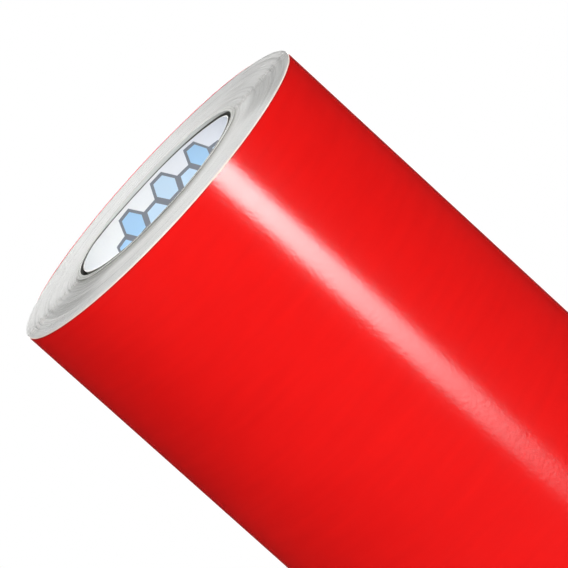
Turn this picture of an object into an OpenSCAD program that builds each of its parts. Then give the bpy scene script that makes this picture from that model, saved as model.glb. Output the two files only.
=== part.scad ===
// Roll of sign vinyl. A web of coloured film on a release liner is wound, film side out,
// on a paper core. The loose end of the web is held down by two tape tabs.
// The roll stands on one end of its core, with its axis on Z and its lowest face at Z = 0.

/* [Core] */
// Diameter of the bore
core_bore_d = 76.2; // [50:0.1:160]
// Thickness of each of the six paper plies
ply_t = 0.42; // [0.3:0.01:0.9]
// Height of the core's end beyond the edge of the web, at each end
core_proud = 0.5; // [0.2:0.1:3]

/* [Web] */
// Width of the web
web_w = 610; // [300:1:1600]
// Thickness of the film with its adhesive coat
film_t = 0.1; // [0.06:0.01:0.4]
// Thickness of the release liner
liner_t = 0.08; // [0.06:0.01:0.4]
// Turns of web on the core
web_turns = 148; // [60:1:300]
// Outermost turns, whose film and liner are shown layer by layer
outer_turns = 4; // [2:1:8]
// Distance from the liner's edge back to the film's edge
film_setback = 0.3; // [0.1:0.05:1]
// Turns that share one groove on the wound ends
groove_turns = 6; // [4:1:12]

/* [Tail] */
// Length of the loose end of the web
tail_len = 40; // [20:1:80]
// Direction of the loose end's edge, in degrees from +X
tail_angle = 100; // [0:1:359]
// Gap under the loose end
tail_gap = 0.1; // [0.05:0.05:0.5]
// Gap at the root of the loose end
root_gap = 0.2; // [0.1:0.05:1]

/* [Tapes] */
// Width of the starter tape, round the core
starter_w = 25; // [10:1:50]
// Thickness of the starter tape
starter_t = 0.1; // [0.05:0.01:0.3]
// Width of a tab, along the roll
tab_w = 25; // [12:1:50]
// Thickness of a tab
tab_t = 0.06; // [0.05:0.01:0.3]
// Distance from the edge of the web to the nearer tab
tab_inset = 90; // [20:1:120]
// Distance from the root of the loose end to a tab
tab_root = 14; // [4:1:16]
// Length of a tab past the edge of the loose end
tab_lap = 26; // [12:1:50]
// Length over which a tab comes down from the loose end to the roll
tab_drop = 4; // [2:0.5:8]
// Gap between a tab and the film under it
tab_gap = 0.1; // [0.05:0.05:0.5]

/* [Hidden] */
$fn = 128;

ply_count = 6;
bore_r = core_bore_d / 2;
core_r = bore_r + ply_count * ply_t;
core_len = web_w + 2 * core_proud;

// One turn of the web: the liner lies inside and the film outside it
web_t = liner_t + film_t;
inner_turns = web_turns - outer_turns;
// A half turn of a spiral is a half ring, whose centre lies a quarter of the pitch to one side.
// The next half turn has its centre on the other side and a radius half a pitch larger.
wound_r = core_r + inner_turns * web_t - web_t / 4;
last_side = web_t / 4;
last_r = wound_r + (2 * outer_turns - 1) * web_t / 2;
under_r = last_r + web_t / 2;

tail_r = last_r + tail_gap;
tail_out_r = tail_r + web_t;
tail_deg = arc_deg(tail_len, tail_out_r);
root_deg = arc_deg(root_gap, tail_out_r);

groove_pitch = groove_turns * web_t;
groove_w = groove_turns * film_t;
groove_land = groove_turns * liner_t;
groove_r = core_r + starter_t + groove_land + groove_pitch / 4;
groove_room = wound_r - groove_land - groove_w - groove_pitch / 4 - groove_r;
groove_halves = 1 + floor(groove_room / (groove_pitch / 2));

// Largest angle of one flat of a short bent strip
flat_deg = 2;
// How far a cut reaches past the face that it opens
cut_over = 1;

film_colour = [0.93, 0.1, 0.09];
liner_colour = [0.9, 0.9, 0.87];
board_colour = [0.78, 0.75, 0.69];
print_colour = [0.95, 0.96, 0.98];
tape_colour = [0.93, 0.91, 0.82];

// The angle of an arc of this length at this radius
function arc_deg(length, r) = length / r * 180 / PI;

// The distance from the roll's axis to a circle of radius r, whose centre lies at x = side
function polar_r(side, r, deg) = side * cos(deg) + sqrt(r * r - pow(side * sin(deg), 2));

// From 0 to 1 with a level start and end
function ease(s) = s <= 0 ? 0 : s >= 1 ? 1 : s * s * (3 - 2 * s);

// The radius of a tab's lower face: along the loose end, over its edge and down to the turn under it
function tab_r(deg) =
    let (drop = ease(deg / arc_deg(tab_drop, tail_out_r)))
    tab_gap + (1 - drop) * polar_r(last_side, tail_out_r, deg) + drop * polar_r(-last_side, under_r, deg);

// Part of a ring, from angle 0 round to the angle given
module ring_sector(r, t, h, deg) {
    rotate_extrude(angle = deg)
        translate([r, 0])
            square([t, h]);
}

// A short strip bent round the axis between two angles, in flats that touch its circles from outside
module bent_strip(r, t, h, from, to) {
    flats = ceil((to - from) / flat_deg);
    turn = (to - from) / flats;
    reach = 1 / cos(turn / 2);
    angles = [for (i = [0 : flats]) from + i * turn];
    linear_extrude(h)
        polygon([
            for (a = angles) reach * r * [cos(a), sin(a)],
            for (i = [flats : -1 : 0]) reach * (r + t) * [cos(angles[i]), sin(angles[i])]
        ]);
}

// A strip wound as a spiral: r is its inner radius at the start, t its thickness and h its height
module spiral_strip(r, t, h, pitch, halves, last_deg = 180) {
    for (k = [0 : halves - 1]) {
        odd = k % 2;
        translate([(odd - 0.5) * pitch / 2, 0, 0])
            rotate([0, 0, 180 * odd])
                ring_sector(r + k * pitch / 2, t, h, k == halves - 1 ? last_deg : 180);
    }
}

// The place of the web on the core, with the edge of its loose end turned to tail_angle
module on_core(z = 0) {
    rotate([0, 0, tail_angle])
        translate([0, 0, core_proud + z])
            children();
}

// One paper ply of the core, counted from the bore
module ply(index) {
    r = bore_r + (index - 1) * ply_t;
    difference() {
        cylinder(r = r + ply_t, h = core_len);
        translate([0, 0, -cut_over])
            cylinder(r = r, h = core_len + 2 * cut_over);
    }
}

module core_inner_ply() {
    color(print_colour)
        ply(1);
}

module core_ply_2() {
    color(board_colour)
        ply(2);
}

module core_ply_3() {
    color(board_colour)
        ply(3);
}

module core_ply_4() {
    color(board_colour)
        ply(4);
}

module core_ply_5() {
    color(board_colour)
        ply(5);
}

module core_outer_ply() {
    color(board_colour)
        ply(ply_count);
}

// The double-sided strip that holds the start of the web on the core.
// Its pocket in the web is the same strip, carried past the faces that it opens.
module starter_strip(over = 0) {
    translate([0, 0, -over])
        bent_strip(core_r - over, starter_t + over, web_w + 2 * over, 0, arc_deg(starter_w, core_r));
}

module starter_tape() {
    color(tape_colour)
        on_core()
            starter_strip();
}

// The groove that the set-back edges of the film leave on a wound end
module end_groove() {
    spiral_strip(groove_r, groove_w, film_setback + cut_over, groove_pitch, groove_halves);
}

// All turns under the outermost ones, as one closed body with a stepped spiral outside
module wound_web() {
    color(liner_colour)
        on_core()
            difference() {
                union() {
                    translate([-last_side, 0, 0])
                        ring_sector(0, wound_r, web_w, 180);
                    translate([last_side, 0, 0])
                        rotate([0, 0, 180])
                            ring_sector(0, wound_r + web_t / 2, web_w, 180);
                }
                translate([0, 0, -cut_over])
                    cylinder(r = core_r, h = web_w + 2 * cut_over);
                starter_strip(cut_over);
                translate([0, 0, web_w - film_setback])
                    end_groove();
                translate([0, 0, -cut_over])
                    end_groove();
            }
}

// A layer of the outermost turns, up to the root of the loose end
module outer_layer(inset, t, edge) {
    on_core(edge)
        spiral_strip(wound_r + inset, t, web_w - 2 * edge, web_t, 2 * outer_turns,
            180 - tail_deg - root_deg);
}

module outer_liner() {
    color(liner_colour)
        outer_layer(0, liner_t, 0);
}

module outer_film() {
    color(film_colour)
        outer_layer(liner_t, film_t, film_setback);
}

// A layer of the loose end, from its root to its edge
module tail_layer(inset, t, edge) {
    on_core(edge)
        translate([last_side, 0, 0])
            bent_strip(tail_r + inset, t, web_w - 2 * edge, -tail_deg, 0);
}

module tail_liner() {
    color(liner_colour)
        tail_layer(0, liner_t, 0);
}

module tail_film() {
    color(film_colour)
        tail_layer(liner_t, film_t, film_setback);
}

// The section of a tab, which steps down over the edge of the loose end
module tab_section() {
    first = -tail_deg + arc_deg(tab_root, tail_out_r);
    last = arc_deg(tab_lap, under_r);
    flats = ceil((last - first) / flat_deg);
    angles = [for (i = [0 : flats]) first + (last - first) * i / flats];
    polygon([
        for (a = angles) tab_r(a) * [cos(a), sin(a)],
        for (i = [flats : -1 : 0]) (tab_r(angles[i]) + tab_t) * [cos(angles[i]), sin(angles[i])]
    ]);
}

module tail_tabs() {
    color(tape_colour)
        for (z = [tab_inset, web_w - tab_inset - tab_w])
            on_core(z)
                linear_extrude(tab_w)
                    tab_section();
}

core_inner_ply();
core_ply_2();
core_ply_3();
core_ply_4();
core_ply_5();
core_outer_ply();
starter_tape();
wound_web();
outer_liner();
outer_film();
tail_liner();
tail_film();
tail_tabs();
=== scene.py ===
import math

import bpy
from mathutils import Matrix, Vector


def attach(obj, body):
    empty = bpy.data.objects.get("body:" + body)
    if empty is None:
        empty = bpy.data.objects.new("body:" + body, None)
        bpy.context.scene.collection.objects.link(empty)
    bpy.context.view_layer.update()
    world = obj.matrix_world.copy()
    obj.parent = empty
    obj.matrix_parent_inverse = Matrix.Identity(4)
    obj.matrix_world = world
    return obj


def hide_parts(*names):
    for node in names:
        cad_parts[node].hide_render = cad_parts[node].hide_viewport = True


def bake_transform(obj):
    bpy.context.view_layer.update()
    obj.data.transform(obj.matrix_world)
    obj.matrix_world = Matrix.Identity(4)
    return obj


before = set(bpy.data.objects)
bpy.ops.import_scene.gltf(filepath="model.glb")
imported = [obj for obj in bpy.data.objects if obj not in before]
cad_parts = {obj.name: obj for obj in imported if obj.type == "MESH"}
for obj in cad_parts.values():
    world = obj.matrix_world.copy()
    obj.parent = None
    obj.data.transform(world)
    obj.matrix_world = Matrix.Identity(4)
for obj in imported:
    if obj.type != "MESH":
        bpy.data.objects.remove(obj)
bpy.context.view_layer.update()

scene = bpy.context.scene
scene.view_settings.view_transform = "Standard"
mm = 0.001
fullTurn = 2 * math.pi


class Wire:  # one socket of a node tree, so that node maths reads as ordinary sums
    def __init__(self, tree, socket=None):
        self.tree = tree
        self.socket = socket

    def node(self, kind, settings=None, inputs=None, output=0):
        made = self.tree.nodes.new(kind)
        for name, value in (settings or {}).items():
            setattr(made, name, value)
        for key, value in (inputs or {}).items():
            if isinstance(value, Wire):
                self.tree.links.new(value.socket, made.inputs[key])
            else:
                made.inputs[key].default_value = value
        return Wire(self.tree, made.outputs[output] if made.outputs else None)

    def other(self, output):  # another output of the same node
        return Wire(self.tree, self.socket.node.outputs[output])

    def math(self, operation, *values):
        return self.node("ShaderNodeMath", {"operation": operation}, dict(enumerate(values)))

    def __add__(self, value):
        return self.math("ADD", self, value)

    def __radd__(self, value):
        return self.math("ADD", value, self)

    def __sub__(self, value):
        return self.math("SUBTRACT", self, value)

    def __rsub__(self, value):
        return self.math("SUBTRACT", value, self)

    def __mul__(self, value):
        return self.math("MULTIPLY", self, value)

    def __rmul__(self, value):
        return self.math("MULTIPLY", value, self)

    def __truediv__(self, value):
        return self.math("DIVIDE", self, value)

    def __rtruediv__(self, value):
        return self.math("DIVIDE", value, self)

    def __gt__(self, value):
        return self.math("GREATER_THAN", self, value)

    def __lt__(self, value):
        return self.math("LESS_THAN", self, value)

    def __abs__(self):
        return self.math("ABSOLUTE", self)

    def ease(self, low, high, start=0.0, end=1.0):  # smooth step from start to end
        settings = {"interpolation_type": "SMOOTHSTEP"}
        return self.node("ShaderNodeMapRange", settings, dict(enumerate((self, low, high, start, end))))

    def ramp(self, low, high, start=0.0, end=1.0):  # straight, clamped
        return self.node("ShaderNodeMapRange", None, dict(enumerate((self, low, high, start, end))))


def srgb(red, green, blue):  # a colour as seen on a screen, 0 to 255, to linear
    levels = (value / 255 for value in (red, green, blue))
    return tuple(v / 12.92 if v <= 0.04045 else ((v + 0.055) / 1.055) ** 2.4 for v in levels)


def newMaterial(name, **fixed):
    material = bpy.data.materials.new(name)
    material.use_nodes = True
    shader = material.node_tree.nodes["Principled BSDF"]
    for socket, value in fixed.items():
        shader.inputs[socket.replace("_", " ")].default_value = value
    wire = Wire(material.node_tree)
    place = wire.node("ShaderNodeTexCoord", output="Object")
    return material, wire, place, shader


def feed(shader, **sockets):
    for socket, wire in sockets.items():
        wire.tree.links.new(wire.socket, shader.inputs[socket.replace("_", " ")])


def noise(wire, vector, scale, detail=2.0, roughness=0.5):
    inputs = {"Vector": vector, "Scale": scale, "Detail": detail, "Roughness": roughness}
    return wire.node("ShaderNodeTexNoise", None, inputs)


def blendColours(wire, share, first, second):
    settings = {"data_type": "RGBA"}
    colours = [c if isinstance(c, Wire) else (*c, 1) for c in (first, second)]
    return wire.node("ShaderNodeMix", settings, {0: share, 6: colours[0], 7: colours[1]}, output=2)


def bump(wire, height, strength, distance):
    inputs = {"Height": height, "Strength": strength, "Distance": distance}
    return wire.node("ShaderNodeBump", None, inputs)


def cylinderPlace(wire, place):  # angle round the roll's axis, height, distance from the axis
    parts = wire.node("ShaderNodeSeparateXYZ", None, {0: place})
    x, y, z = parts, parts.other("Y"), parts.other("Z")
    return wire.math("ARCTAN2", y, x), z, wire.math("SQRT", x * x + y * y)


def vector(wire, x, y, z):
    return wire.node("ShaderNodeCombineXYZ", None, {0: x, 1: y, 2: z})


def rings(wire, place, scale):  # bands round the axis that come and go along the way
    parts = wire.node("ShaderNodeSeparateXYZ", None, {0: place})
    x, y = parts, parts.other("Y")
    alongRing = 12.0  # how fast a band changes along its way
    seat = vector(wire, wire.math("SQRT", x * x + y * y) * scale, x * alongRing, y * alongRing)
    return noise(wire, seat, 1.0, 3.0, 0.6)


def paintShading(wire, place, marks, colour, shadingTone):  # painted shade and painted light on parts of an end
    angle, height, radius = cylinderPlace(wire, place)
    for turn, spread, middle, reach, share in marks:
        towards = wire.math("COSINE", angle - math.radians(turn))
        beside = towards.ease(math.cos(math.radians(spread)), 1.0)
        near = abs(radius - middle).ease(reach / 2, reach, 1.0, 0.0)
        colour = blendColours(wire, beside * near * share, colour, shadingTone)
    return colour


def turnedOut(wire, place):  # 1 where a face looks away from the roll's axis, -1 where it looks to it
    spot = wire.node("ShaderNodeSeparateXYZ", None, {0: place})
    way = wire.node("ShaderNodeSeparateXYZ", None, {0: place.other("Normal")})
    x, y = spot, spot.other("Y")
    return (x * way + y * way.other("Y")) / wire.math("SQRT", x * x + y * y)


# Finishes

web = {
    "coreRadius": 40.62 * mm,
    "film": 0.1 * mm,
    "liner": 0.08 * mm,
    "low": 0.5 * mm,
    "high": 610.5 * mm,
    # painted shade wedges on the wound ends: direction and spread in degrees, distance from the axis,
    # reach, strength
    "shadeWedges": ((205, 26, 48 * mm, 12 * mm, 0.45), (342, 26, 58 * mm, 14 * mm, 0.45)),
    # tone of the painted shade wedges
    "shadingTone": srgb(130, 130, 127),
    "paintedLight": ((145, 36, 56 * mm, 18 * mm, 0.3),),  # painted light on its lightest part, listed the same way
    # tone of the painted light
    "paintedLightTone": srgb(252, 252, 250),
    "setBack": 0.05 * mm,  # film's edge below the liner's, at least
    "sink": 0.22 * mm,  # and how much further it lies back at most
    "tailEdge": math.radians(100),  # direction of the loose end's edge
    "tailTurn": 34 / 360,  # length of the loose end, in turns
    "rootTurn": 10 / 360,  # stretch before the root that bends with the loose end
    "turns": 148,
    "firstLap": 0.55,  # the web starts beside the starter tape
    "steps": 96,
    "skinSteps": 1080,
    "wander": 0.3 * mm,  # how far the laps stand out of line at the ends
    "unevenLow": 0.35 * mm,  # so that none comes out below
    "looseLaps": 20,  # the first laps have sunk a little
    "looseDrop": 0.12 * mm,
    "looseSide": math.radians(205),  # most of all here
    "skinSetBack": 0.5 * mm,
    "lean": 0.74 * mm,  # the outermost film lies a little askew on its liner
    "leanFrom": 0.1,  # from none at this sine of the angle to all at the next
    "leanTo": 0.75,
    "tailRise": 0.075 * mm,  # gap under the loose end's edge
    "skinTurns": 1.003,  # the outermost lap just covers its own start
}

core = {
    "bore": 38.1 * mm,
    "ply": 0.42 * mm,
    "length": 611.0 * mm,
    "plies": [
        "core_inner_ply", "core_ply_2", "core_ply_3",
        "core_ply_4", "core_ply_5", "core_outer_ply",
    ],
    "curl": 0.95 * mm,  # the printed ply has come away from the others at its ends
    "oval": 0.75,  # most of all at two opposite sides
    "ovalAt": math.radians(8),
    "curlLength": 26.0 * mm,
    "recess": 0.03 * mm,
    "slant": 1.5 * mm,  # its ends are not cut quite square
    "slantAt": math.radians(65),  # lowest here
    "slantFrom": 0.1,  # from none at this cosine of the angle to it
    "ragged": 0.1 * mm,
    "raggedLength": 4.0 * mm,  # stretch of a ply that its uneven end draws along
    "soften": 0.05 * mm,
    "steps": 240,
    "rows": (30, 8, 8, 8, 8, 8),
}

filmLook = {
    "red": srgb(235, 19, 17),
    "deepRed": srgb(226, 15, 14),
    "roughness": (0.145, 0.175),
    "peelScale": 700.0,  # fine skin of the film, features over a millimetre long
    "peelHeight": 0.034 * mm,
    "streakScale": 6.0,
    "cloudScale": 14.0,
    "grainScale": 260.0,
    "cut": srgb(160, 9, 10),  # darker red band along the film's edges, where the web was slit
    "cutWidth": 0.6 * mm,
}


def makeFilm(look):
    material, wire, place, shader = newMaterial("filmRed", Specular_IOR_Level=0.9)
    angle, height, radius = cylinderPlace(wire, place)
    along = vector(wire, angle * 0.35, height * 40, 0.0)  # long streaks in the direction of winding
    streaks = noise(wire, along, look["streakScale"], 3.0)
    cloud = noise(wire, place, look["cloudScale"], 3.0)
    peel = noise(wire, place, look["peelScale"], 2.0, 0.6)
    share = (cloud * 0.6 + streaks * 0.4).ease(0.3, 0.7)
    grain = noise(wire, place, look["grainScale"], 3.0)
    low, high = look["roughness"]
    red = blendColours(wire, share, look["red"], look["deepRed"])
    lean = wire.math("SINE", angle).ease(web["leanFrom"], web["leanTo"], 0.0, web["lean"])
    fromTop = web["high"] - web["skinSetBack"] + lean - height
    fromLow = height - lean - web["low"] - web["skinSetBack"] / 2
    cut = wire.math("MINIMUM", fromTop, fromLow).ease(0.0, look["cutWidth"], 1.0, 0.0)
    cut = cut * turnedOut(wire, place).ease(0.3, 0.7)
    feed(
        shader,
        Base_Color=blendColours(wire, cut, red, look["cut"]),
        Roughness=(grain * 0.6 + streaks * 0.4).ramp(0.3, 0.7, low, high),
        Normal=bump(wire, peel, 1.0, look["peelHeight"]),
    )
    return material


linerLook = {
    "name": "linerPaper",
    "paper": srgb(222, 222, 220),  # at the cut edge
    "shade": srgb(212, 212, 209),
    "back": srgb(254, 254, 253),  # the bare side, toward the core
    "coated": srgb(236, 236, 235),  # the release side, under the film
    "ring": srgb(150, 150, 147),
    "ringScale": 950.0,
    "coreShade": srgb(186, 186, 183),  # painted shade on the first laps, at its darkest
    "coreShadeTo": 47.5 * mm,
    "coreShadeLeast": 0.5,  # and the painted shade is least opposite the side where they have sunk most
    "roughness": (0.62, 0.78),
    "cloudScale": 60.0,
    "fibreScale": 1600.0,
    "fibreHeight": 0.006 * mm,
    "rolled": 0.0,  # slope of an edge that is rolled in
    # this end gets the painted shade wedges and the patch of painted light
    "paintShading": True,
}
rimLook = {  # the last lap, bare above the film's edge
    **linerLook,
    "name": "linerRim",
    "coated": srgb(255, 241, 230),
    "rolled": 0.5,
    "paintShading": False,
}


def makeLiner(look):
    material, wire, place, shader = newMaterial(look["name"], Specular_IOR_Level=0.3)
    cloud = noise(wire, place, look["cloudScale"], 4.0)
    fibre = noise(wire, place, look["fibreScale"], 2.0, 0.7)
    share = (cloud * 0.5 + fibre * 0.5).ease(0.32, 0.68)
    paper = blendColours(wire, share, look["paper"], look["shade"])
    bands = rings(wire, place, look["ringScale"])
    paper = blendColours(wire, bands.ease(0.5, 0.68), paper, look["ring"])
    facing = turnedOut(wire, place)
    paper = blendColours(wire, facing.ease(0.3, 0.7), paper, look["coated"])
    angle, height, radius = cylinderPlace(wire, place)
    fromMiddle = abs(height - (web["low"] + web["high"]) / 2)
    # painted shade on the first laps near the core, deepest on the side where they have sunk most
    loose = wire.math("COSINE", angle - web["looseSide"])
    loose = loose.ease(0.2, 1.0, look["coreShadeLeast"], 1.0)
    coreShade = radius.ease(web["coreRadius"], look["coreShadeTo"], 1.0, 0.0) * loose
    paper = blendColours(wire, coreShade, paper, look["coreShade"])
    # painted shade wedges on the wound end
    if look["paintShading"]:
        paper = paintShading(wire, place, web["shadeWedges"], paper, web["shadingTone"])
        # painted light on its lightest part
        paper = paintShading(wire, place, web["paintedLight"], paper, web["paintedLightTone"])
    low, high = look["roughness"]
    feed(
        shader,
        Base_Color=blendColours(wire, facing.ease(-0.3, -0.7), paper, look["back"]),
        Roughness=fibre.ramp(0.3, 0.7, low, high),
        Normal=bump(wire, fibre * look["fibreHeight"] - fromMiddle * look["rolled"], 1.0, 1.0),
    )
    return material


edgeLook = {
    "edge": srgb(172, 171, 168),
    "tinge": srgb(174, 165, 161),
    "ring": srgb(100, 99, 97),
    "ringScale": 950.0,  # bands about a millimetre apart
    "cloudScale": 90.0,
    "cutScale": 1400.0,
    "roughness": (0.55, 0.75),
    "cutHeight": 0.02 * mm,
}


def makeWebEdges(look):
    material, wire, place, shader = newMaterial("webEdges", Specular_IOR_Level=0.3)
    cloud = noise(wire, place, look["cloudScale"], 4.0)
    cut = noise(wire, place, look["cutScale"], 2.0, 0.7)
    edge = blendColours(wire, cloud.ease(0.35, 0.65), look["edge"], look["tinge"])
    bands = rings(wire, place, look["ringScale"])
    edge = blendColours(wire, bands.ease(0.45, 0.62), edge, look["ring"])
    # painted light on the film's edges
    edge = paintShading(wire, place, web["paintedLight"], edge, web["paintedLightTone"])
    feed(
        shader,
        # painted shade wedges on the film's edges
        Base_Color=paintShading(wire, place, web["shadeWedges"], edge, web["shadingTone"]),
        Roughness=cut.ramp(0.3, 0.7, *look["roughness"]),
        Normal=bump(wire, cut, 0.3, look["cutHeight"]),
    )
    return material


boardLook = {
    "tones": (232, 238, 215, 240, 232),  # plies two to six, from the bore outward
    "nearShadeTones": (140, 228, 206, 196, 160),  # and darker, as painted shade, on the side toward the camera
    "fleck": 0.9,  # flecks are this much darker
    # the painted shade wedges on the ply ends are this much darker
    "shadingTone": 0.68,
    "wall": srgb(226, 226, 222),  # inner face, bare above the printed ply
    "gapShade": srgb(80, 80, 76),  # and painted shade behind it
    "gapLine": 0.3 * mm,
    "back": srgb(198, 198, 194),  # outer face, bare where the core stands out of the web
    "backEndShade": srgb(50, 50, 48),  # and a painted shade line at its end
    "backLine": 0.4 * mm,
    # painted shade at the ply ends: direction and spread in degrees, distance from the axis, reach,
    # strength
    "shadeWedges": ((212, 50, 39.5 * mm, 6 * mm, 0.85), (3, 40, 39.5 * mm, 6 * mm, 0.5)),
    # painted shade on the ply ends toward the camera
    "near": ((255, 46, 39.5 * mm, 6 * mm, 0.9),),
    "fibreScale": 9.0,
    "fleckScale": 1100.0,
    "roughness": (0.75, 0.92),
    "fibreHeight": 0.05 * mm,
}


def makeBoard(name, tone, nearShadeTone, look):
    material, wire, place, shader = newMaterial(name, Specular_IOR_Level=0.25)
    angle, height, radius = cylinderPlace(wire, place)
    along = vector(wire, angle * 3.0, height * 60, radius * 900)  # fibres lie round the tube
    fibre = noise(wire, along, look["fibreScale"], 4.0, 0.65)
    fleck = noise(wire, place, look["fleckScale"], 3.0, 0.7)

    def grey(level):
        return srgb(level, level, level - 4)

    share = (fibre * 0.6 + fleck * 0.4).ease(0.4, 0.72)
    board = blendColours(wire, share, grey(tone), grey(tone * look["fleck"]))
    # painted shade at the two tips of the ply ends
    board = paintShading(wire, place, look["shadeWedges"], board, grey(tone * look["shadingTone"]))
    # painted shade on the side toward the camera
    board = paintShading(wire, place, look["near"], board, grey(nearShadeTone))
    fromEnd = core["length"] / 2 - abs(height - core["length"] / 2)
    slant = wire.math("COSINE", angle - core["slantAt"])
    slant = slant.ease(core["slantFrom"], 1.0) * core["slant"]
    # painted shade on the wall below the printed ply's slanted end
    behind = (fromEnd - slant).ease(-look["gapLine"], 0.0)
    wall = blendColours(wire, behind, look["wall"], look["gapShade"])
    # painted shade line where the outer face ends
    back = blendColours(wire, fromEnd.ease(0.0, look["backLine"]), look["backEndShade"], look["back"])
    facing = turnedOut(wire, place)
    board = blendColours(wire, facing.ease(-0.3, -0.7), board, wall)
    feed(
        shader,
        Base_Color=blendColours(wire, facing.ease(0.3, 0.7), board, back),
        Roughness=fleck.ramp(0.3, 0.7, *look["roughness"]),
        Normal=bump(wire, fibre * 0.5 + fleck * 0.5, 0.5, look["fibreHeight"]),
    )
    return material


printLook = {
    "paper": srgb(255, 254, 250),
    "shade": srgb(250, 249, 247),
    "lavender": srgb(245, 245, 249),  # a faint tint on one side of the bore
    "lavenderAt": math.radians(12),
    "cut": srgb(188, 187, 182),  # the ply's bare end
    "back": srgb(104, 104, 99),  # and its grey back
    "outline": srgb(132, 135, 142),
    "blue": srgb(174, 212, 243),
    "paleBlue": srgb(206, 229, 247),
    "cell": 12.0 * mm,  # width of one cell of the honeycomb
    "line": 0.11,  # half of an outline's width, in cells
    "middle": math.radians(84),  # the printed patch is centred here and on the opposite side
    "reach": 28.0 * mm,  # half of the patch's length round the bore
    "margin": 2.6 * mm,  # bare paper above a patch
    "patch": 0.052,  # height of a patch
    "rows": 0.1018,  # distance between patches along the core
    "seamLead": 0.138,  # rise of the ply's seam in one turn
    "seamWidth": 0.4 * mm,
    "fibreScale": 900.0,
    "cloudScale": 45.0,
    "roughness": (0.5, 0.62),
    "fibreHeight": 0.1 * mm,
}


def honeycomb(wire, across, up):  # distance from a cell's centre, 1 at its edge, and that centre
    tall = math.sqrt(3)

    def centred(offset):
        x = wire.math("FLOORED_MODULO", across + offset * 1.5 + 1.5, 3.0) - 1.5
        y = wire.math("FLOORED_MODULO", up + offset * tall / 2 + tall / 2, tall) - tall / 2
        return x, y

    def hexagon(x, y):
        x, y = abs(x), abs(y)
        return wire.math("MAXIMUM", y, x * tall / 2 + y * 0.5) / (tall / 2)

    xa, ya = centred(0)
    xb, yb = centred(1)
    nearA = hexagon(xa, ya)
    nearB = hexagon(xb, yb)
    pick = nearA < nearB
    middle = across - (xa * pick + xb * (1 - pick))
    level = up - (ya * pick + yb * (1 - pick))
    return wire.math("MINIMUM", nearA, nearB), middle, level


def makePrint(look):
    material, wire, place, shader = newMaterial("corePrint", Specular_IOR_Level=0.35)
    angle, height, radius = cylinderPlace(wire, place)
    half = math.pi * core["bore"]  # the patch comes twice round the bore
    around = angle * core["bore"] - look["middle"] * core["bore"]
    around = wire.math("FLOORED_MODULO", around + half / 2, half) - half / 2
    down = wire.math("FLOORED_MODULO", core["length"] - height, look["rows"]) - look["margin"]
    unit = look["cell"] / 2
    edge, middle, level = honeycomb(wire, around / unit, down / unit - math.sqrt(3) / 2)
    inside = (abs(middle) < look["reach"] / unit) * (level > -0.5) * (level < look["patch"] / unit)
    outline = (edge > 1 - look["line"] * 2) * inside
    cell = vector(wire, wire.math("ROUND", middle * 2), wire.math("ROUND", level * 2), 0.0)
    number = wire.node("ShaderNodeTexWhiteNoise", {"noise_dimensions": "2D"}, {"Vector": cell})
    tint = blendColours(wire, number > 0.62, look["blue"], look["paleBlue"])
    fibre = noise(wire, place, look["fibreScale"], 3.0, 0.65)
    cloud = noise(wire, place, look["cloudScale"], 3.0)
    share = (fibre * 0.4 + cloud * 0.6).ease(0.35, 0.65)
    paper = blendColours(wire, share, look["paper"], look["shade"])
    tinted = wire.math("COSINE", angle - look["lavenderAt"]).ease(-0.6, 0.9)
    paper = blendColours(wire, tinted, paper, look["lavender"])
    colour = blendColours(wire, inside * (1 - outline), paper, tint)
    colour = blendColours(wire, outline, colour, look["outline"])
    turns = angle / fullTurn - height / look["seamLead"]
    fromSeam = abs(wire.math("FRACT", turns) - 0.5) * look["seamLead"]
    seam = fromSeam.ease(0.0, look["seamWidth"], 1.0, 0.0)
    colour = blendColours(wire, seam * 0.5, colour, look["outline"])
    way = wire.node("ShaderNodeSeparateXYZ", None, {0: place.other("Normal")})
    colour = blendColours(wire, abs(way.other("Z")).ease(0.4, 0.8), colour, look["cut"])
    colour = blendColours(wire, turnedOut(wire, place).ease(0.3, 0.7), colour, look["back"])
    feed(
        shader,
        Base_Color=colour,
        Roughness=fibre.ramp(0.3, 0.7, *look["roughness"]),
        Normal=bump(wire, fibre * 0.1 - seam, 0.6, look["fibreHeight"]),
    )
    return material


tapeLook = {
    "tape": srgb(232, 224, 198),
    "crease": srgb(214, 203, 172),
    "creaseScale": 18.0,
    "creaseHeight": 0.06 * mm,
    "fibreScale": 1300.0,
    "roughness": (0.5, 0.72),
}


def makeTape(look):
    material, wire, place, shader = newMaterial("paperTape", Specular_IOR_Level=0.35)
    angle, height, radius = cylinderPlace(wire, place)
    along = vector(wire, angle * 26, height * 60, 0.0)  # fine creases along the roll
    crepe = noise(wire, along, look["creaseScale"], 3.0, 0.6)
    fibre = noise(wire, place, look["fibreScale"], 2.0, 0.7)
    share = (crepe * 0.6 + fibre * 0.4).ease(0.35, 0.65)
    feed(
        shader,
        Base_Color=blendColours(wire, share, look["tape"], look["crease"]),
        Roughness=crepe.ramp(0.3, 0.7, *look["roughness"]),
        Normal=bump(wire, crepe, 0.6, look["creaseHeight"]),
    )
    return material


filmRed = makeFilm(filmLook)
linerPaper = makeLiner(linerLook)
linerRim = makeLiner(rimLook)
webEdges = makeWebEdges(edgeLook)
corePrint = makePrint(printLook)
plyFinishes = [corePrint] + [
    makeBoard(f"coreBoard{number + 2}", *tones, boardLook)
    for number, tones in enumerate(zip(boardLook["tones"], boardLook["nearShadeTones"]))
]
paperTape = makeTape(tapeLook)
print("finishes made")


# Shapes by Geometry Nodes

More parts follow.
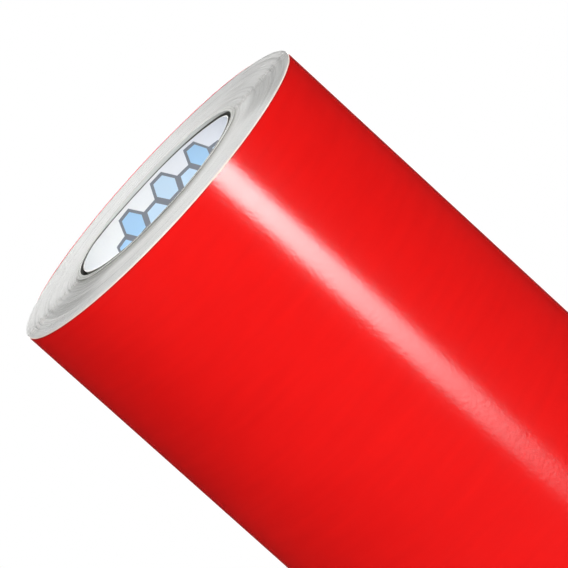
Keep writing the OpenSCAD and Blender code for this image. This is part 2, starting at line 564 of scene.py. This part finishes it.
def newTree(name, inputs):
    tree = bpy.data.node_groups.new(name, "GeometryNodeTree")
    tree.interface.new_socket("Mesh", in_out="OUTPUT", socket_type="NodeSocketGeometry")
    for label, kind in inputs.items():
        tree.interface.new_socket(label, in_out="INPUT", socket_type="NodeSocket" + kind)
    source = tree.nodes.new("NodeGroupInput")
    return tree, {label: Wire(tree, source.outputs[label]) for label in inputs}


def endTree(mesh, material, crease=0.7, turn=False):  # faces outward, sharp corners, plain mesh, finish
    if turn:
        mesh = mesh.node("GeometryNodeFlipFaces", None, {"Mesh": mesh})
    smooth = mesh.node("GeometryNodeSetShadeSmooth", {"domain": "FACE"}, {"Geometry": mesh})
    corner = mesh.node("GeometryNodeInputMeshEdgeAngle") > crease
    inputs = {"Geometry": smooth, "Selection": corner, "Shade Smooth": False}
    smooth = mesh.node("GeometryNodeSetShadeSmooth", {"domain": "EDGE"}, inputs)
    plain = mesh.node("GeometryNodeRealizeInstances", None, {"Geometry": smooth})
    done = mesh.node("GeometryNodeSetMaterial", None, {"Geometry": plain, "Material": material})
    mesh.node("NodeGroupOutput", None, {0: done})


def grow(name, tree, values, thickness=0.0):
    piece = bpy.data.objects.new(name, bpy.data.meshes.new(name))
    scene.collection.objects.link(piece)
    modifier = piece.modifiers.new("shape", "NODES")
    modifier.node_group = tree
    for item in tree.interface.items_tree:
        if item.in_out == "INPUT" and item.name in values:
            modifier[item.identifier] = values[item.name]
    if thickness:
        wall = piece.modifiers.new("wall", "SOLIDIFY")
        wall.thickness = thickness
        wall.offset = 1.0
    graph = bpy.context.evaluated_depsgraph_get()
    piece.data = bpy.data.meshes.new_from_object(piece.evaluated_get(graph))
    piece.modifiers.clear()
    piece.data.name = name
    print(name, len(piece.data.polygons), "faces")
    return piece


def makeStripTree():  # a strip of sheet wound round the Z axis
    tree, given = newTree("woundStrip", {
        "Start Radius": "Float", "Pitch": "Float", "Start Angle": "Float",
        "Turns": "Float", "Steps": "Int", "Thickness": "Float",
        "Low": "Float", "High": "Float", "Wander": "Float", "Sink": "Float",
        "Loose Laps": "Float", "Loose Drop": "Float", "Loose Side": "Float",
        "Lean": "Float", "Lap": "Float", "Seed": "Int", "Material": "Material",
    })
    wire = Wire(tree)
    steps = wire.math("ROUND", given["Turns"] * given["Steps"])
    line = wire.node("GeometryNodeMeshLine", None, {"Count": steps + 1.5})
    turn = wire.node("GeometryNodeInputIndex") / steps * given["Turns"]
    angle = given["Start Angle"] + turn * fullTurn
    radius = given["Start Radius"] + given["Pitch"] * turn
    lap = given["Lap"] + turn
    across, along = wire.math("COSINE", angle), wire.math("SINE", angle)

    def unevenness(often, offset):  # changes from lap to lap, and a little round the roll
        seat = vector(wire, across * 0.3, along * 0.3, lap * often + given["Seed"] * 50.0 + offset)
        return noise(wire, seat, 1.0, 1.0).ramp(0.3, 0.7)

    wander = (unevenness(0.19, 0.0) * 0.7 + unevenness(0.9, 9.0) * 0.3) * given["Wander"]
    sink = unevenness(0.23, 18.0) * given["Sink"]
    loose = lap.ease(1.0, given["Loose Laps"], 1.0, 0.0) * (unevenness(0.45, 27.0) * 0.5 + 0.5)
    loose = loose * (wire.math("COSINE", angle - given["Loose Side"]) * 0.4 + 0.6) * given["Loose Drop"]
    lean = along.ease(web["leanFrom"], web["leanTo"]) * given["Lean"]
    spot = vector(wire, radius * across, radius * along, 0.0)
    line = wire.node("GeometryNodeSetPosition", None, {"Geometry": line, "Position": spot})
    kept = {"Geometry": line, "Name": "lift", "Value": lean - wander - sink - loose}
    line = wire.node("GeometryNodeStoreNamedAttribute", {"data_type": "FLOAT", "domain": "POINT"}, kept)
    path = wire.node("GeometryNodeMeshToCurve", None, {"Mesh": line})
    path = wire.node("GeometryNodeSetCurveNormal", {"mode": "Z_UP"}, {"Curve": path})
    thick, low, high = given["Thickness"], given["Low"], given["High"]
    corners = {
        "Point 1": vector(wire, 0.0, low * -1, 0.0),
        "Point 2": vector(wire, thick, low * -1, 0.0),
        "Point 3": vector(wire, thick, high * -1, 0.0),
        "Point 4": vector(wire, 0.0, high * -1, 0.0),
    }
    section = wire.node("GeometryNodeCurvePrimitiveQuadrilateral", {"mode": "POINTS"}, corners)
    inputs = {"Curve": path, "Profile Curve": section, "Fill Caps": True}
    strip = wire.node("GeometryNodeCurveToMesh", None, inputs)
    lift = wire.node("GeometryNodeInputNamedAttribute", {"data_type": "FLOAT"}, {"Name": "lift"})
    raised = vector(wire, 0.0, 0.0, lift)  # straight up, so the walls stay upright
    inputs = {"Geometry": strip, "Offset": raised}
    strip = wire.node("GeometryNodeSetPosition", None, inputs)
    strip = wire.node("GeometryNodeRemoveAttribute", None, {"Geometry": strip, "Name": "lift"})
    endTree(strip, given["Material"], turn=True)
    return tree


pitch = web["film"] + web["liner"]
stripTree = makeStripTree()


def lapRadius(lap):  # inner face of the web after this many turns
    return web["coreRadius"] + pitch * (lap - 0.5)


def windStrip(name, firstLap, lastLap, layer, finish, **changes):
    film = layer == "film"
    setBack = web["setBack"] if film else 0.0
    values = {
        "Start Radius": lapRadius(firstLap) + (web["liner"] if film else 0.0),
        "Pitch": pitch,
        "Start Angle": web["tailEdge"] + fullTurn * firstLap,
        "Turns": lastLap - firstLap,
        "Steps": web["steps"],
        "Thickness": web["film"] if film else web["liner"],
        "Low": web["low"] + web["unevenLow"] + (setBack + web["sink"] if film else 0.0),
        "High": web["high"] - setBack,
        "Wander": web["wander"],
        "Sink": web["sink"] if film else 0.0,
        "Loose Laps": web["looseLaps"],
        "Loose Drop": web["looseDrop"],
        "Loose Side": web["looseSide"],
        "Lean": 0.0,
        "Lap": firstLap,
        "Seed": 3,
        "Material": finish,
    }
    return grow(name, stripTree, {**values, **changes})


rootLap = web["turns"] - web["tailTurn"]
skinEnd = rootLap - web["rootTurn"]
skinStart = skinEnd - web["skinTurns"]
linerWinding = windStrip("linerWinding", web["firstLap"], skinStart, "liner", linerPaper)
filmWinding = windStrip("filmWinding", web["firstLap"], skinStart, "film", webEdges)
evenLook = {"Steps": web["skinSteps"], "Wander": 0.0, "Sink": 0.0, "Loose Drop": 0.0}
fullWidth = {"Low": web["low"]}
leanLook = {
    "Low": web["low"] + web["skinSetBack"] / 2,
    "High": web["high"] - web["skinSetBack"],
    "Lean": web["lean"],
}
linerSkin = windStrip("linerSkin", skinStart, skinEnd, "liner", linerRim, **evenLook, **fullWidth)
filmSkin = windStrip("filmSkin", skinStart, skinEnd, "film", filmRed, **evenLook, **leanLook)
tailTurns = web["turns"] - skinEnd
tailLook = {**evenLook, "Pitch": pitch + web["tailRise"] / tailTurns}
tailSpan = (skinEnd, web["turns"])
tailLiner = windStrip("tailLinerStrip", *tailSpan, "liner", linerPaper, **tailLook, **fullWidth)
tailFilm = windStrip("tailFilmStrip", *tailSpan, "film", filmRed, **tailLook, **leanLook)


def makePlyTree():  # one paper tube of the core, with softened ends
    tree, given = newTree("corePly", {
        "Inner Radius": "Float", "Thickness": "Float", "Length": "Float", "Recess": "Float",
        "Curl": "Float", "Curl Length": "Float", "Oval": "Float", "Oval Angle": "Float",
        "Slant": "Float", "Slant Angle": "Float", "Soften": "Float", "Ragged": "Float",
        "Steps": "Int", "Rows": "Int", "Seed": "Int", "Material": "Material",
    })
    wire = Wire(tree)
    rows, soft = given["Rows"], given["Soften"]
    length = given["Length"] - given["Recess"] * 2
    inputs = {
        "Size X": 1.0, "Size Y": 1.0,
        "Vertices X": given["Steps"] + 1, "Vertices Y": rows * 2 + 1,
    }
    grid = wire.node("GeometryNodeMeshGrid", None, inputs)
    spot = wire.node("ShaderNodeSeparateXYZ", None, {0: wire.node("GeometryNodeInputPosition")})
    angle = (spot + 0.5) * fullTurn
    row = wire.math("ROUND", (spot.other("Y") + 0.5) * rows * 2)  # up the bore, then down the outside
    outside = row > rows
    row = wire.math("MINIMUM", row, rows * 2 - row)
    left = rows - row
    first, second = 0.38, 0.12  # how the two rows at an end round off, in wall thicknesses
    lower = row.ramp(0, 1, first, 0) + row.ramp(1, 2, second, 0)
    inset = lower + left.ramp(0, 1, first, 0) + left.ramp(1, 2, second, 0)
    outward = outside + inset - inset * outside * 2
    rise = wire.math("COSINE", row.ramp(2, rows - 2) * math.pi) * -0.5 + 0.5  # closer near the ends
    height = (row.ramp(1, 2) + 1 - left.ramp(1, 2)) * soft + rise * (length - soft * 2)
    height = height + given["Recess"]
    nearEnd = wire.math("MINIMUM", height, given["Length"] - height)
    curl = nearEnd.ease(0.0, given["Curl Length"], 1.0, 0.0) * given["Curl"]
    curl = curl * (wire.math("COSINE", (angle - given["Oval Angle"]) * 2) * given["Oval"] + 1)
    radius = given["Inner Radius"] + given["Thickness"] * outward - curl
    across, along = wire.math("COSINE", angle), wire.math("SINE", angle)
    seat = vector(wire, across * 0.4, along * 0.4, given["Seed"] * 7.0)
    rag = noise(wire, seat, 9.0, 3.0).ramp(0.25, 0.75)
    slant = wire.math("COSINE", angle - given["Slant Angle"])
    slant = slant.ease(core["slantFrom"], 1.0) * given["Slant"]
    drop = nearEnd.ease(0.0, core["raggedLength"], 1.0, 0.0) * (rag * given["Ragged"] + slant)
    height = height + drop * ((rise < 0.5) * 2 - 1)
    place = vector(wire, radius * across, radius * along, height)
    tube = wire.node("GeometryNodeSetPosition", None, {"Geometry": grid, "Position": place})
    closed = {"Geometry": tube, "Distance": 0.001 * mm}  # the grid's sides meet
    tube = wire.node("GeometryNodeMergeByDistance", None, closed)
    endTree(tube, given["Material"], turn=True)
    return tree


plyTree = makePlyTree()
plies = []
for index, node in enumerate(core["plies"]):
    printed = index == 0
    plies.append(grow(f"corePly{index + 1}", plyTree, {
        "Inner Radius": core["bore"] + index * core["ply"],
        "Thickness": core["ply"],
        "Length": core["length"],
        "Recess": core["recess"] if printed else 0.0,
        "Curl": core["curl"] if printed else 0.0,
        "Curl Length": core["curlLength"],
        "Oval": core["oval"],
        "Oval Angle": core["ovalAt"],
        "Slant": core["slant"] if printed else 0.0,
        "Slant Angle": core["slantAt"],
        "Soften": core["soften"],
        "Ragged": core["ragged"],
        "Steps": core["steps"],
        "Rows": core["rows"][index],
        "Seed": index + 1,
        "Material": plyFinishes[index],
    }))


def makeTabTree():  # a tape tab, laid over the loose end's edge and down to the turn under it
    tree, given = newTree("tapeTab", {
        "First Angle": "Float", "Last Angle": "Float", "Edge Angle": "Float", "Drop": "Float",
        "High Radius": "Float", "Low Radius": "Float", "Low": "Float", "Width": "Float",
        "Steps": "Int", "Teeth": "Int", "Tooth": "Float", "Material": "Material",
    })
    wire = Wire(tree)
    inputs = {
        "Size X": 1.0, "Size Y": 1.0,
        "Vertices X": given["Steps"] + 1, "Vertices Y": given["Teeth"] * 2 + 1,
    }
    grid = wire.node("GeometryNodeMeshGrid", None, inputs)
    spot = wire.node("ShaderNodeSeparateXYZ", None, {0: wire.node("GeometryNodeInputPosition")})
    along, across = spot + 0.5, spot.other("Y") + 0.5
    tooth = wire.math("PINGPONG", across * given["Teeth"] * 2, 1.0) * given["Tooth"]
    first, last = given["First Angle"] + tooth, given["Last Angle"] - tooth
    angle = first + (last - first) * along
    fall = (angle - given["Edge Angle"]).ease(0.0, given["Drop"])
    radius = given["High Radius"] + (given["Low Radius"] - given["High Radius"]) * fall
    height = given["Low"] + given["Width"] * across
    x, y = radius * wire.math("COSINE", angle), radius * wire.math("SINE", angle)
    place = vector(wire, x, y, height)
    sheet = wire.node("GeometryNodeSetPosition", None, {"Geometry": grid, "Position": place})
    endTree(sheet, given["Material"])
    return tree


tab = {
    "heights": (90.5 * mm, 495.5 * mm),
    "width": 25.0 * mm,
    "first": math.radians(77.9),
    "last": math.radians(122.1),
    "drop": math.radians(3.5),
    "overTail": 67.46 * mm,
    "overRoll": 67.2 * mm,
    "steps": 96,
    "teeth": 14,
    "tooth": math.radians(0.7),
    "thickness": 0.06 * mm,
}
tabTree = makeTabTree()
tabs = [
    grow(f"tapeTab{number + 1}", tabTree, {
        "First Angle": tab["first"],
        "Last Angle": tab["last"],
        "Edge Angle": web["tailEdge"],
        "Drop": tab["drop"],
        "High Radius": tab["overTail"],
        "Low Radius": tab["overRoll"],
        "Low": low,
        "Width": tab["width"],
        "Steps": tab["steps"],
        "Teeth": tab["teeth"],
        "Tooth": tab["tooth"],
        "Material": paperTape,
    }, thickness=tab["thickness"])
    for number, low in enumerate(tab["heights"])
]
print("pieces made")


# What moves with what

def join(piece, body, slot, *nodes):
    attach(piece, body)
    if nodes:
        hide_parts(*nodes)


join(linerWinding, "roll", "liner_paper", "wound_web")
join(linerSkin, "roll", "liner_paper", "outer_liner")
join(filmWinding, "roll", "web_edges", "wound_web")
join(filmSkin, "roll", "film", "outer_film")
for piece, node in zip(plies, core["plies"]):
    join(piece, "roll", "core_print" if node == "core_inner_ply" else "core_board", node)
for piece in tabs:
    join(piece, "tail", "tape", "tail_tabs")

rootAngle = web["tailEdge"] - fullTurn * web["tailTurn"]
rootSpot = Vector((math.cos(rootAngle), math.sin(rootAngle), 0)) * lapRadius(rootLap + 1)
rootSpot.z = core["length"] / 2
wayOut = Vector((-math.sin(rootAngle), math.cos(rootAngle), 0))
bend = {"before": 4.0 * mm, "after": 9.0 * mm}
bendStart = rootSpot - wayOut * bend["before"]
bendEnd = rootSpot + wayOut * bend["after"]
tailPieces = ((tailLiner, "tail_liner", "liner_paper"), (tailFilm, "tail_film", "film"))
for piece, node, slot in tailPieces:
    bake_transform(piece)
    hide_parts(node)

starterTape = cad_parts["starter_tape"]
starterTape.data.materials.clear()
starterTape.data.materials.append(paperTape)
print("pieces joined to their bodies")


# Camera, floor and light

view = {
    "place": (0.0, -1.41927, 0.84361),
    "pitch": 0.200653,
    "yaw": 0.0046705,
    "roll": -0.833136,
    "lens": 260.2,
}
cameraData = bpy.data.cameras.new("camera")
cameraData.sensor_width = 36
cameraData.lens = view["lens"]
cameraData.clip_end = 100
camera = bpy.data.objects.new("camera", cameraData)
scene.collection.objects.link(camera)
turned = Matrix.Rotation(-view["yaw"], 4, "Z")
tilted = Matrix.Rotation(math.pi / 2 - view["pitch"], 4, "X")
rolled = Matrix.Rotation(view["roll"], 4, "Z")
camera.matrix_world = Matrix.Translation(view["place"]) @ turned @ tilted @ rolled
scene.camera = camera

room = {
    "floor": (0.86, 0.86, 0.86),
    "whiteFrom": 0.35,  # the floor turns to the white of the background between these distances
    "whiteTo": 1.1,
    "floorHalf": 30.0,
    "sky": 0.05,
    "card": (0.2, 0.02, 0.02),  # dark red, so that the film stays red at its outline
    "cardSides": 64,
    "cardRadius": 1.5,
    "cardHeight": 0.5,
    "cardLift": 0.002,
    "aim": (0.0, 0.0, 0.45),
    # degrees to the right of the camera, degrees up, distance, width, height,
    # light on a sheet that faces it
    "softBoxes": {
        "keyBox": (30, 32, 1.9, 0.9, 0.9, 0.44),
        "leftBox": (-20, 32, 1.9, 0.9, 0.9, 0.3),
        "leftLowBox": (-55, 3, 1.3, 0.7, 0.13, 0.25),
        "rightLowBox": (52, 3, 1.9, 0.9, 0.13, 0.05),
        "rightBox": (135, 35, 1.9, 0.9, 0.9, 0.28),
        "backBox": (185, 25, 1.9, 1.1, 1.1, 0.72),
    },
    # narrow lamps into the bore: degrees to the right, degrees up, distance, cone, light
    "boreSpots": {
        "boreRightSpot": (62, 48, 1.2, math.radians(3.1), 1.15),
        "boreLeftSpot": (-60, 48, 1.2, math.radians(3.1), 1.6),
    },
    "boreMouth": (0.0, 0.0, 0.606),
}
strips = {
    "low": 0.04,  # height of a strip's lower end
    "full": 0.79,  # share of its height from which it has its full power
    "soft": 0.4,  # part of its half width over which it fades out at each side
    # degrees to the right of the camera, distance, width, top, power
    "lamps": {
        "frontStrip": (35, 1.2, 0.38, 0.52, 12.6),
        "backStrip": (195, 0.7, 0.18, 0.25, 4.2),
    },
}


def sheet(name, corners, faces):
    mesh = bpy.data.meshes.new(name)
    mesh.from_pydata(corners, [], faces)
    piece = bpy.data.objects.new(name, mesh)
    scene.collection.objects.link(piece)
    return piece


def seenDirectly(wire):  # 1 for what the camera sees, also in gloss or through glass
    path = wire.node("ShaderNodeLightPath")
    seen = wire.math("MAXIMUM", path.other("Is Camera Ray"), path.other("Is Glossy Ray"))
    return wire.math("MAXIMUM", seen, path.other("Is Transmission Ray"))


half = room["floorHalf"]
corners = [(-half, -half, 0), (half, -half, 0), (half, half, 0), (-half, half, 0)]
floor = sheet("floor", corners, [(0, 1, 2, 3)])
material, wire, place, shader = newMaterial("floorPale", Roughness=0.9, Specular_IOR_Level=0.1)
shader.inputs["Base Color"].default_value = (*room["floor"], 1)
angle, height, radius = cylinderPlace(wire, place)
white = wire.node("ShaderNodeEmission", None, {"Color": (1, 1, 1, 1), "Strength": 1.0})
far = radius.ease(room["whiteFrom"], room["whiteTo"]) * seenDirectly(wire)
plain = Wire(wire.tree, shader.outputs[0])
shown = wire.node("ShaderNodeMixShader", None, {0: far, 1: plain, 2: white})
wire.tree.links.new(shown.socket, wire.tree.nodes["Material Output"].inputs["Surface"])
floor.data.materials.append(material)

world = bpy.data.worlds.new("studio")
scene.world = world
world.use_nodes = True
wire = Wire(world.node_tree)
seen = seenDirectly(wire)
dim = wire.node("ShaderNodeBackground", None, {"Color": (1, 1, 1, 1), "Strength": room["sky"]})
white = wire.node("ShaderNodeBackground", None, {"Color": (1, 1, 1, 1), "Strength": 1.0})
shown = wire.node("ShaderNodeMixShader", None, {0: seen, 1: dim, 2: white})
wire.tree.links.new(shown.socket, world.node_tree.nodes["World Output"].inputs["Surface"])

count = room["cardSides"]  # dark card round the set, which keeps the gloss clear
ring = [(math.cos(fullTurn * i / count), math.sin(fullTurn * i / count)) for i in range(count)]
wide = room["cardRadius"]
corners = [(x * wide, y * wide, z) for z in (0, room["cardHeight"]) for x, y in ring]
faces = [(i, (i + 1) % count, count + (i + 1) % count, count + i) for i in range(count)]
faces.append(tuple(range(count)))  # and its floor
flag = sheet("darkCard", corners, faces)
for ray in ("camera", "diffuse", "transmission", "shadow"):
    setattr(flag, "visible_" + ray, False)
flag.location.z = room["cardLift"]
material, wire, place, shader = newMaterial("cardDarkRed", Roughness=1.0, Specular_IOR_Level=0.0)
shader.inputs["Base Color"].default_value = (*room["card"], 1)
flag.data.materials.append(material)


def fromCamera(turn):  # level direction to the right of the camera's side
    return Vector((math.sin(turn), -math.cos(turn), 0))


def makeStripLight(name, power):  # dims toward its lower end and its sides
    material, wire, place, shader = newMaterial(name + "Glow")
    parts = wire.node("ShaderNodeSeparateXYZ", None, {0: place})
    across, rise = abs(parts), parts.other("Z").ramp(0.0, strips["full"])
    level = rise * rise * across.ease(0.5 - strips["soft"] / 2, 0.5, 1.0, 0.0) * power
    glow = wire.node("ShaderNodeEmission", None, {"Strength": level})
    wire.tree.links.new(glow.socket, wire.tree.nodes["Material Output"].inputs["Surface"])
    return material


upright = [(-0.5, 0, 0), (0.5, 0, 0), (0.5, 0, 1), (-0.5, 0, 1)]
for name, (turn, far, width, top, power) in strips["lamps"].items():
    glowing = sheet(name, upright, [(0, 1, 2, 3)])
    glowing.location = fromCamera(math.radians(turn)) * far + Vector((0, 0, strips["low"]))
    glowing.rotation_euler.z = math.radians(turn)
    glowing.scale = (width, 1, top - strips["low"])
    glowing.visible_camera = False
    glowing.visible_diffuse = glowing.location.y < 0  # the one behind only shows in the gloss
    glowing.data.materials.append(makeStripLight(name, power))


def hang(name, kind, aim, turn, rise, far):  # a lamp that looks at the aim
    lamp = bpy.data.lights.new(name, kind)
    holder = bpy.data.objects.new(name, lamp)
    scene.collection.objects.link(holder)
    rise = math.radians(rise)
    way = fromCamera(math.radians(turn)) * math.cos(rise) + Vector((0, 0, math.sin(rise)))
    holder.location = Vector(aim) + way * far
    holder.rotation_euler = way.to_track_quat("Z", "Y").to_euler()
    holder.visible_camera = False
    return holder, lamp


for name, (turn, rise, far, width, tall, level) in room["softBoxes"].items():
    box, lamp = hang(name, "AREA", room["aim"], turn, rise, far)
    lamp.shape = "RECTANGLE"
    lamp.size = width
    lamp.size_y = tall
    lamp.energy = level * (math.pi * far) ** 2
    box.visible_glossy = rise > 10  # the low fill leaves the gloss clear
for name, (turn, rise, far, cone, level) in room["boreSpots"].items():
    spot, lamp = hang(name, "SPOT", room["boreMouth"], turn, rise, far)
    lamp.spot_size = cone
    lamp.spot_blend = 1.0
    lamp.shadow_soft_size = 0.01
    lamp.energy = level * (fullTurn * far) ** 2
    spot.visible_glossy = False
print("light made")

print("scene ready")
